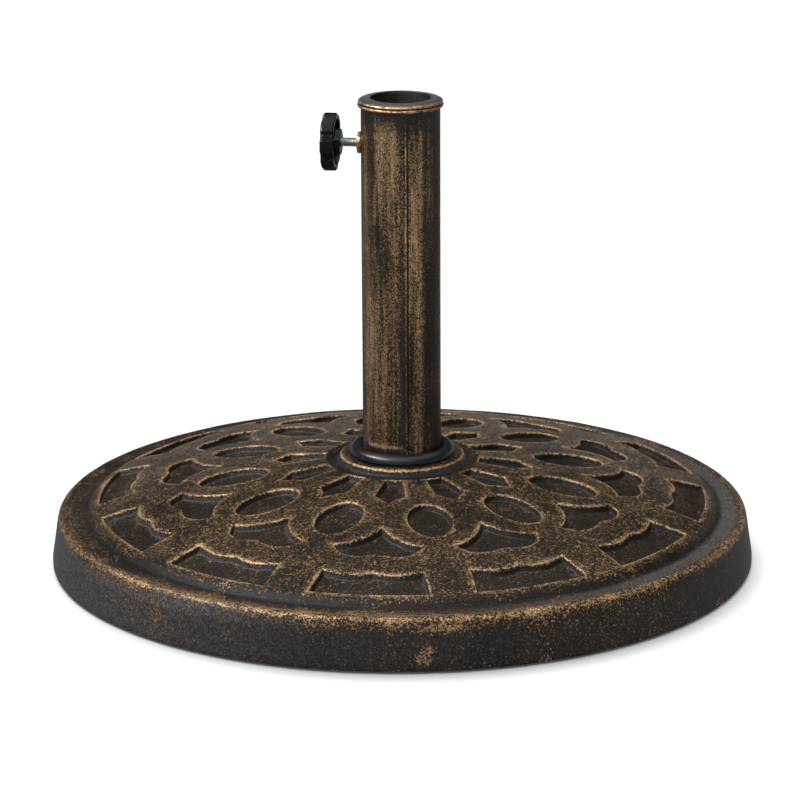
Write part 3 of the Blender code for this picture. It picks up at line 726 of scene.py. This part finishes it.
def tube_wear(azimuth, z):
    """Where the bronze is rubbed on the tube: vertical bands round it, bare paint under the collar, and less bronze
    down its right side as painted shade.
    """
    bands = (0.23 * bump(azimuth, 212.0, 9.0) * np.interp(z, (70.0, 150.0, 200.0), (1.0, 0.8, 0.4))
             + 0.20 * bump(azimuth, 241.0, 13.0) * np.interp(z, (70.0, 110.0, 180.0, 260.0), (0.5, 0.8, 0.8, 1.0))
             + 0.26 * bump(azimuth, 262.0, 8.0) * np.interp(z, (80.0, 110.0, 200.0, 270.0), (0.2, 0.55, 0.75, 1.0))
             + 0.28 * bump(azimuth, 298.0, 8.0) * np.interp(z, (70.0, 170.0, 270.0), (1.0, 0.95, 0.8))
             + 0.20 * bump(azimuth, 287.0, 6.0) * np.interp(z, (70.0, 120.0, 200.0, 270.0), (0.9, 0.5, 0.3, 0.8))
             + 0.25 * bump(azimuth, 40.0, 14.0) + 0.2 * bump(azimuth, 95.0, 18.0) + 0.25 * bump(azimuth, 150.0, 15.0))
    bare_and_shade = 0.28 * bump(azimuth, 272.5, 5.0) * np.interp(z, (75.0, 100.0, 190.0, 230.0), (1.0, 1.0, 0.6, 0.0))
    # the dip at 330 degrees darkens the tube's right side: painted shade
    bare_and_shade += 0.15 * bump(azimuth, 306.0, 5.0) + 0.20 * bump(azimuth, 330.0, 14.0)
    bare_and_shade += 0.20 * bump(azimuth, 235.0, 9.0) * bump(z, 217.0, 9.0)
    top = np.interp(z, (279.0, 286.0, 292.0), (0.0, 0.4, 1.0))
    lips = 0.34 * bump(azimuth, 277.0, 1.3) + 0.26 * bump(azimuth, 281.6, 0.9)
    bare_and_shade += 0.16 * bump(azimuth, 248.0, 15.0) * bump(z, 202.0, 26.0)
    return (0.28 + 1.1 * bands - bare_and_shade) * (1.0 - 0.9 * top) + lips * np.interp(z, (274.0, 288.0), (1.0, 0.3))


def build_tube():
    """The rolled tube, its welded seam, the worn step above its foot and the hole for the nut."""
    _, bottom, top = reach("pole_tube")
    inner = TUBE_R - TUBE_WALL
    rows = [(TUBE_R - 0.4, top), (TUBE_R, top - 0.4)]
    rows += [(TUBE_R, z) for z in np.linspace(top - 2.0, bottom + 2.0, 118)]
    rows += [(TUBE_R, bottom + 0.4), (TUBE_R - 0.4, bottom), (inner + 0.2, bottom), (inner, bottom + 0.4)]
    rows += [(inner, z) for z in np.linspace(bottom + 20.0, top - 20.0, 12)]
    rows += [(inner, top - 0.4), (inner + 0.2, top)]
    points, faces = lathe_grid(rows, 360)
    radius, azimuth = polar(points)
    z = points[:, 2]
    outside = radius > TUBE_R - 0.1
    seam = bump(azimuth, SEAM_AZIMUTH + 0.2 * np.sin(z / 31.0), 0.85)
    crown = bump(azimuth, SEAM_AZIMUTH, 4.0)
    slot = bump(azimuth, 277.0, 6.0) * bump(z, FOOT_STEP_Z - 0.4, 0.9)
    below = 1.0 / (1.0 + np.exp((z - FOOT_STEP_Z) * 3.0)) * (azimuth > 204.0) * (azimuth < 276.0)
    depth = 0.42 * seam - 0.10 * crown + 0.35 * slot + 0.28 * below + 0.05 * (1.0 + ripple(points, 26.0, 0.3))
    points[:, :2] *= np.where(outside, 1.0 - np.maximum(depth, 0.0) / TUBE_R, 1.0)[:, None]
    line = bump(z, FOOT_STEP_Z + 0.6, 0.9) * (azimuth > 212.0) * (azimuth < 272.0)
    wear = tube_wear(azimuth, z) - 1.3 * seam + 1.1 * line - 0.9 * slot - 0.26 * below
    wear += 0.10 * ripple(points, 19.0, 1.9)
    wear = np.where(outside, wear, 0.0)
    slate = np.where(outside, 0.12 * np.interp(z, (280.0, 292.0), (0.0, 1.0)) + 0.3 * below
                     + 0.25 * bump(azimuth, 270.0, 6.0) * np.interp(z, (100.0, 220.0), (1.0, 0.2)), 0.2)
    tube = make_mesh("tube_body", "pole_tube", points, faces, "tube_paint", TUBE_PAINT, sharp=60.0,
                     wear=np.clip(wear, 0.0, 1.1), slate=np.clip(slate, 0.0, 1.0))
    # the clamp's side hole
    edit = bmesh.new()
    bmesh.ops.create_cone(edit, cap_ends=True, segments=64, radius1=4.7 * MM, radius2=4.7 * MM, depth=20.0 * MM)
    cutter_mesh = bpy.data.meshes.new("hole_cutter")
    edit.to_mesh(cutter_mesh)
    edit.free()
    cutter_mesh.materials.append(TUBE_PAINT)
    cutter = bpy.data.objects.new("hole_cutter", cutter_mesh)
    bpy.context.scene.collection.objects.link(cutter)
    place = CLAMP_FRAME @ Matrix.Translation((0.0, 0.0, 25.0))
    place.translation *= MM
    cutter.matrix_world = place
    cut = tube.modifiers.new("Hole", "BOOLEAN")
    cut.operation = "DIFFERENCE"
    cut.solver = "EXACT"
    cut.object = cutter
    bpy.context.view_layer.update()
    graph = bpy.context.evaluated_depsgraph_get()
    drilled = bpy.data.meshes.new_from_object(tube.evaluated_get(graph), preserve_all_data_layers=True,
                                              depsgraph=graph)
    tube.modifiers.clear()
    tube.data = drilled
    bpy.data.objects.remove(cutter)


def build_foot_ring():
    """The half-round trim ring."""
    outer, low, top = reach("foot_ring")
    profile = [(28.6, top), (30.2, top - 0.15), (31.7, top - 0.9), (32.9, top - 2.2), (33.55, top - 3.8),
               (outer, low + 0.5), (outer - 0.5, low), (SEAT_R, low), (SEAT_R, top - 2.7), (26.2, top - 2.3),
               (27.0, top - 1.2), (27.6, top - 0.3)]
    turned_piece("foot_ring_trim", "foot_ring", profile, 192, "satin_black", SATIN_BLACK, 0.6)


def build_collar():
    """The two rolled beads at the tube's top, with a dark groove between them."""
    bead_r, low, top = reach("collar_bead")

    def bead_wear(points):
        face = bump(polar(points)[0], bead_r, 0.55) * np.interp(points[:, 2], (low, low + 0.7), (0.55, 1.0))
        return 0.80 * face + 0.14 * ripple(points, 7.0, 0.4)

    middle = (low + top) / 2.0
    profile = [(SEAT_R, top), (26.0, top), (26.6, top - 0.25), (bead_r - 0.08, middle + 0.45), (bead_r, middle),
               (bead_r - 0.1, middle - 0.5), (26.5, low + 0.25), (25.9, low), (SEAT_R, low)]
    turned_piece("collar_lower_bead", "collar_bead", profile, 192, "collar_paint", COLLAR_PAINT, 0.3, wear=bead_wear)

    outer, bottom, rim = reach("reducer_sleeve")

    def sleeve_wear(points):
        radius, _ = polar(points)
        wear = np.interp(radius, (18.9, 19.4, 21.5, 24.8, 26.0, 26.75), (0.10, 0.24, 0.18, 0.30, 0.72, 0.86))
        return np.where((points[:, 2] < rim - 3.4) | (radius < 18.92), 0.0, wear + 0.12 * ripple(points, 7.0, 2.4))

    def sleeve_slate(points):
        return np.interp(polar(points)[0], (18.92, 19.5, 24.0, 26.2), (0.0, 0.8, 0.7, 0.0))

    profile = [(18.95, rim), (20.5, rim - 0.12), (23.0, rim - 0.45), (25.2, rim - 0.95), (26.3, rim - 1.5),
               (outer, rim - 2.2), (26.4, rim - 3.0), (23.2, rim - 3.0), (23.2, bottom + 1.0), (22.4, bottom),
               (19.4, bottom), (18.8, bottom + 0.6), (18.8, rim - 0.2)]
    turned_piece("reducer_collar", "reducer_sleeve", profile, 192, "sleeve_paint", COLLAR_PAINT, 0.35,
                 wear=sleeve_wear, slate=sleeve_slate)


def build_feet():
    """Six rubber pads with a soft edge and a shallow ring groove."""
    for index in range(1, 7):
        low, high = box_mm(f"foot_pad_{index}")
        centre = (low + high) / 2.0
        radius, top = (high[0] - low[0]) / 2.0, high[2]
        profile = [(0.0, top), (radius - 0.05, top), (radius, top - 0.2), (radius, 0.45), (radius - 0.45, 0.0),
                   (radius - 2.2, 0.0), (radius - 2.5, 0.35), (radius - 3.1, 0.35), (radius - 3.4, 0.0), (0.0, 0.0)]
        turned_piece(f"rubber_foot_{index}", f"foot_pad_{index}", profile, 72, "foot_rubber", RUBBER, 0.12,
                     closed=False, matrix=Matrix.Translation((centre[0], centre[1], 0.0)))


# ------------------------------------------------------------------ bolt and washers

def hexagon(corner, angles):
    """The radii of a hexagon's outline."""
    return corner * math.cos(math.pi / 6.0) / np.cos((angles + math.pi / 6.0) % (math.pi / 3.0) - math.pi / 6.0)


BOLT_R = 4.95
BOLT_PITCH = 1.5


def build_bolt():
    """The M10 bolt: chamfered hex head, washer face and rolled thread."""
    corner, low, high = reach("centre_bolt")
    flat = corner * math.cos(math.pi / 6.0)
    head_top = reach("spring_washer")[1] - 0.3
    thread_from = 34.0
    rows = [(0.0, low), (flat * 0.55, low), (flat * 0.6, low + 0.25), (flat * 0.86, low + 0.05), (flat * 0.93, low),
            (corner * 0.985, low + 0.75), (corner, low + 1.1), (corner, head_top - 0.5),
            (flat * 0.97, head_top - 0.3), (flat * 0.96, head_top), (BOLT_R, head_top), (BOLT_R, thread_from)]
    rows += [(BOLT_R, z) for z in np.arange(thread_from, high - 1.0, BOLT_PITCH / 8.0)] + [(4.2, high), (0.0, high)]

    def radius_at(row, angles):
        radius, z = rows[row]
        if 5 <= row <= 7:
            return np.minimum(hexagon(corner, angles), radius)
        if thread_from + 0.1 < z < high - 1.1:
            phase = (z / BOLT_PITCH + angles / math.tau) % 1.0
            return radius - 0.675 * (1.0 - np.abs(2.0 * phase - 1.0))
        return np.full(len(angles), radius)

    points, faces = lathe_grid(rows, 96, closed=False, radius_at=radius_at)
    make_mesh("centre_bolt_m10", "centre_bolt", points, faces, "zinc", ZINC, sharp=28.0)


def build_washers():
    """The wide washer, the split spring washer, the anchor sleeve and the foot plate."""
    bore = 5.25
    outer, low, high = reach("penny_washer")
    turned_piece("wide_washer", "penny_washer", [(outer, high), (outer, low), (bore, low), (bore, high)], 144,
                 "zinc", ZINC, 0.35)
    build_spring_washer(bore)
    outer, low, high = reach("anchor_sleeve")
    turned_piece("cast_in_sleeve", "anchor_sleeve", [(outer, high), (outer, low), (bore, low), (bore, high)], 72,
                 "steel", STEEL, 0.3)
    outer, low, high = reach("tube_foot_plate")
    profile = [(outer - 0.4, high), (outer, high - 0.5), (outer, low + 0.4), (outer - 0.4, low), (bore, low),
               (bore, high - 0.6), (bore + 0.7, high)]
    turned_piece("socket_floor_plate", "tube_foot_plate", profile, 120, "steel", STEEL, 0.15)


def build_spring_washer(bore):
    """A square wire wound once, with a gap between its ends."""
    outer, low, high = reach("spring_washer")
    steps, gap = 72, math.radians(5.0)
    section = rounded([(outer, high), (outer, low), (bore, low), (bore, high)], 0.3)
    points = [(r * math.cos(a), r * math.sin(a), z) for a in np.linspace(gap, math.tau - gap, steps + 1)
              for r, z in section]
    size = len(section)
    faces = [[ring * size + k, ring * size + (k + 1) % size, (ring + 1) * size + (k + 1) % size,
              (ring + 1) * size + k] for ring in range(steps) for k in range(size)]
    faces += [list(range(size))[::-1], [steps * size + k for k in range(size)]]
    make_mesh("split_washer", "spring_washer", points, faces, "zinc", ZINC, sharp=40.0)


# ------------------------------------------------------------------ clamp

SCREW_R = 2.95
SCREW_PITCH = 1.0
NUT_R = 6.9
NUT_FACE = 27.2
PAD_FACE = 17.4
KNOB_BACK = 40.3
KNOB_FACE = KNOB_BACK + 8.5
KNOB_BOSS_R = 8.4
KNOB_BOSS_END = KNOB_BACK - 2.8
SCREW_HEAD_SEAT = KNOB_BACK + 2.0
CAP_SEAT = KNOB_BACK + 6.5
KNOB_LOBES = 8
KNOB_LOBE_R, KNOB_FLUTE_R = 18.2, 16.6


def build_nut():
    """The flanged weld nut: a disc saddled on the tube, with a pilot and a threaded bore."""
    steps = 128
    rows = [(3.25, 22.9), (3.55, 22.9), (4.4, 23.1), (4.4, 25.4), (NUT_R, 25.4), (NUT_R, NUT_FACE - 0.75),
            (NUT_R - 0.25, NUT_FACE - 0.25), (NUT_R - 0.9, NUT_FACE), (4.6, NUT_FACE), (4.0, NUT_FACE - 0.25),
            (3.5, NUT_FACE - 0.1), (3.25, NUT_FACE - 0.5)]
    points, faces = lathe_grid(rows, steps)
    # the back of the flange lies on the tube: height along the axis follows the tube's curve
    back = points[3 * steps:5 * steps]
    back[:, 2] = np.sqrt((TUBE_R + 0.3) ** 2 - back[:, 1] ** 2)
    radius, _ = polar(points)
    wear = np.interp(radius, (3.3, 4.0, 5.2, 6.2, 6.9), (0.1, 0.5, 0.55, 1.0, 0.85))
    wear = wear * np.interp(points[:, 2], (25.4, 26.6), (0.5, 1.0)) + 0.15 * ripple(points, 3.0, 1.0)
    make_mesh("clamp_nut_flange", "clamp_nut", points, faces, "nut_paint", COLLAR_PAINT, "base", CLAMP_FRAME,
              40.0, wear=np.clip(wear, 0.0, 1.1), slate=np.zeros(len(points)))


def build_pad():
    """The brass swivel pad at the screw's tip."""
    face = PAD_FACE
    profile = [(0.0, face + 1.2), (2.1, face + 1.2), (2.1, face + 2.8), (2.35, face + 3.0), (4.2, face + 3.0),
               (5.0, face + 2.4), (5.0, face + 0.6), (4.4, face), (2.6, face), (2.4, face + 0.2),
               (0.0, face + 0.2)]
    turned_piece("swivel_pad", "pressure_pad", profile, 96, "pad_brass", BRASS, 0.12, False, "pad", CLAMP_FRAME)


def build_screw():
    """The M6 screw: rolled thread, turned tip, hex head."""
    corner = 5.77
    tip = PAD_FACE + 1.5
    shoulder = PAD_FACE + 3.3
    head_low = SCREW_HEAD_SEAT + 0.3
    head_high = head_low + 3.8
    step = SCREW_PITCH / 10.0
    rows = [(0.0, tip), (1.5, tip), (1.8, tip + 0.3), (1.8, shoulder), (2.3, shoulder), (2.5, shoulder + 0.35)]
    first_thread = len(rows)
    rows += [(SCREW_R, z) for z in np.arange(shoulder + 0.4, head_low - 0.05, step)]
    last_thread = len(rows)
    rows += [(SCREW_R, head_low), (corner * 0.85, head_low), (corner, head_low + 0.4), (corner, head_high - 0.6),
             (corner * 0.9, head_high), (0.0, head_high)]

    def radius_at(row, angles):
        radius, z = rows[row]
        if first_thread <= row < last_thread:
            phase = (z / SCREW_PITCH + angles / math.tau) % 1.0
            crest = np.clip(1.35 * (1.0 - np.abs(2.0 * phase - 1.0)) - 0.12, 0.0, 1.0)
            run_in = np.clip((z - shoulder) / 1.2, 0.0, 1.0)
            return 2.42 + (radius - 2.42) * crest * run_in
        if last_thread < row < last_thread + 5:
            return np.minimum(hexagon(corner, angles), radius)
        return np.full(len(angles), radius)

    points, faces = lathe_grid(rows, 64, closed=False, radius_at=radius_at)
    make_mesh("clamp_screw_m6", "clamp_screw", points, faces, "zinc", ZINC, "knob", CLAMP_FRAME, 40.0)


def knob_radius(angles):
    """Eight broad lobes with rounded shoulders and shallow flutes."""
    pitch = math.tau / KNOB_LOBES
    offset = np.abs((angles + pitch / 2.0) % pitch - pitch / 2.0)
    shoulder = (offset - math.radians(12.0)) / math.radians(5.5)
    blend = np.clip(shoulder, 0.0, 1.0)
    blend = blend * blend * (3.0 - 2.0 * blend)
    return KNOB_LOBE_R + (KNOB_FLUTE_R - KNOB_LOBE_R) * blend


def build_knob():
    """The hand knob, hollow behind its rim, with a boss, a dished face and a seat for the cap."""
    # rows: radius, height, share of the lobed outline
    boss, hollow, ceiling = KNOB_BOSS_R, 14.6, KNOB_BACK + 4.5
    rows = [(3.25, KNOB_BOSS_END, 0.0), (boss - 0.9, KNOB_BOSS_END, 0.0), (boss - 0.25, KNOB_BOSS_END + 0.25, 0.0),
            (boss, KNOB_BOSS_END + 0.9, 0.0), (boss + 0.3, KNOB_BACK + 1.0, 0.0), (boss + 0.6, ceiling - 0.4, 0.0),
            (boss + 1.0, ceiling, 0.0), (hollow - 0.4, ceiling, 0.0), (hollow, ceiling - 0.4, 0.0),
            (hollow, KNOB_BACK + 0.5, 0.0), (hollow + 0.3, KNOB_BACK + 0.05, 0.0), (hollow + 0.6, KNOB_BACK, 0.1),
            (-1.0, KNOB_BACK, 1.0), (-0.45, KNOB_BACK + 0.16, 1.0), (-0.12, KNOB_BACK + 0.5, 1.0),
            (0.0, KNOB_BACK + 1.1, 1.0), (0.0, KNOB_BACK + 3.0, 1.0), (0.0, KNOB_BACK + 5.5, 1.0),
            (0.0, KNOB_FACE - 1.5, 1.0), (-0.12, KNOB_FACE - 0.75, 1.0), (-0.5, KNOB_FACE - 0.25, 1.0),
            (-1.2, KNOB_FACE, 1.0), (15.0, KNOB_FACE, 0.3), (14.2, KNOB_FACE - 0.05, 0.0),
            (13.4, KNOB_FACE - 0.5, 0.0), (9.4, KNOB_FACE - 0.6, 0.0), (8.9, KNOB_FACE - 0.15, 0.0),
            (8.4, KNOB_FACE - 0.05, 0.0), (8.0, KNOB_FACE - 0.4, 0.0), (8.0, CAP_SEAT, 0.0), (6.2, CAP_SEAT, 0.0),
            (6.2, SCREW_HEAD_SEAT, 0.0), (3.25, SCREW_HEAD_SEAT, 0.0)]
    profile = [(max(radius, 0.5), height) for radius, height, _ in rows]

    def radius_at(row, angles):
        radius, _, share = rows[row]
        lobed = knob_radius(angles) + (radius if radius <= 0.0 else -1.8)
        plain = np.full(len(angles), max(radius, 0.0))
        return lobed * share + plain * (1.0 - share)

    points, faces = lathe_grid(profile, 288, radius_at=radius_at)
    make_mesh("hand_knob", "clamp_knob", points, faces, "knob_black", KNOB_BLACK, "knob", CLAMP_FRAME, 42.0)
    top = KNOB_FACE + 0.8
    cap = [(0.0, top), (2.5, top - 0.03), (4.8, top - 0.25), (6.6, top - 0.7), (7.5, top - 1.2), (7.7, top - 1.7),
           (7.7, CAP_SEAT + 0.3), (0.0, CAP_SEAT + 0.3)]
    turned_piece("knob_end_cap", "knob_cap", cap, 120, "knob_black", KNOB_BLACK, 0.15, False, "knob", CLAMP_FRAME)


# ------------------------------------------------------------------ stage

def build_surround(scene):
    """The studio round the object: bright overhead, darker towards the walls, a pale line at the horizon."""
    scene.world = bpy.data.worlds.new("studio")
    net = Nodes(scene.world, "Generated")
    up = net.node("SeparateXYZ", "Z", {0: net.place})
    ramp = net.node("ValToRGB", "Color", {"Fac": net.linear(up, 0.0, 1.0, -1.0, 1.0)})
    # height of the direction, from straight down at 0 to straight up at 1, and brightness
    stops = ((0.0, 0.24), (0.485, 0.30), (0.497, 0.97), (0.52, 0.97), (0.54, 0.03), (0.68, 0.05), (0.80, 0.35),
             (0.88, 1.0), (1.0, 1.25))
    elements = ramp.node.color_ramp.elements
    while len(elements) < len(stops):
        elements.new(0.5)
    for element, (position, value) in zip(elements, stops):
        element.position = position
        element.color = (value, value, value, 1.0)
    # the wall behind the object is unlit above the horizon
    behind = net.remap(up.node.outputs["Y"], -0.15, 0.45, 1.0, 0.12)
    lit = net.math("MAXIMUM", net.math("LESS_THAN", up, 0.06), net.remap(up, 0.62, 0.82))
    background = net.tree.nodes["Background"]
    net.link(ramp, background.inputs["Color"])
    net.link(net.math("MAXIMUM", behind, lit), background.inputs["Strength"])


def build_stage():
    """A pale floor, a soft surround, a softbox and the camera."""
    scene = bpy.context.scene
    net = Nodes(bpy.data.materials.new("studio_floor"))
    tint = net.mix(net.remap(net.noise(3.0), 0.3, 0.7), (0.86, 0.86, 0.86), (0.88, 0.88, 0.88))
    floor_paint = net.finish(Base_Color=tint, Roughness=0.9, Specular_IOR_Level=0.0,
                             Emission_Color=(1.0, 1.0, 1.0), Emission_Strength=0.05)
    half = 20.0
    mesh = bpy.data.meshes.new("floor")
    mesh.from_pydata([(-half, -half, 0.0), (half, -half, 0.0), (half, half, 0.0), (-half, half, 0.0)], [],
                     [(0, 1, 2, 3)])
    mesh.materials.append(floor_paint)
    floor = bpy.data.objects.new("floor", mesh)
    floor.visible_glossy = False
    scene.collection.objects.link(floor)
    build_surround(scene)

    def softbox(name, place, aim, size, power, colour=(1.0, 1.0, 1.0)):
        light = bpy.data.lights.new(name, "AREA")
        light.shape = "RECTANGLE"
        light.size, light.size_y = size
        light.energy = power
        light.color = colour
        lamp = bpy.data.objects.new(name, light)
        lamp.location = place
        lamp.rotation_euler = (Vector(aim) - Vector(place)).to_track_quat("-Z", "Y").to_euler()
        scene.collection.objects.link(lamp)
        return lamp

    sun = bpy.data.lights.new("broad_key", "SUN")
    sun.energy = 2.15
    sun.angle = math.radians(38.0)
    key = bpy.data.objects.new("broad_key", sun)
    key.rotation_euler = Vector((0.20, -0.50, -1.0)).to_track_quat("-Z", "Y").to_euler()
    key.visible_glossy = False
    scene.collection.objects.link(key)
    gloss = softbox("left_softbox", (-1.05, -0.42, 1.2), (-0.05, -0.1, 0.03), (1.3, 0.35), 34.0)
    gloss.visible_diffuse = False
    softbox("front_softbox", (0.3, -2.2, 1.9), (0.0, 0.0, 0.05), (1.4, 0.8), 10.0, (0.93, 0.96, 1.0))

    camera_data = bpy.data.cameras.new("camera")
    camera_data.sensor_width = 36.0
    camera_data.lens = 166.467
    camera_data.clip_end = 60.0
    camera = bpy.data.objects.new("camera", camera_data)
    pitch = math.radians(16.237)
    roll = -0.0045
    camera.matrix_world = (Matrix.Translation((-0.0011, -2.269500, 0.763926))
                           @ Matrix.Rotation(math.pi / 2.0 - pitch, 4, "X") @ Matrix.Rotation(roll, 4, "Z"))
    scene.collection.objects.link(camera)
    scene.camera = camera
    scene.view_settings.view_transform = "Standard"


build_disc()
build_tube()
build_foot_ring()
build_collar()
build_feet()
build_bolt()
build_washers()
build_nut()
build_pad()
build_screw()
build_knob()
build_stage()
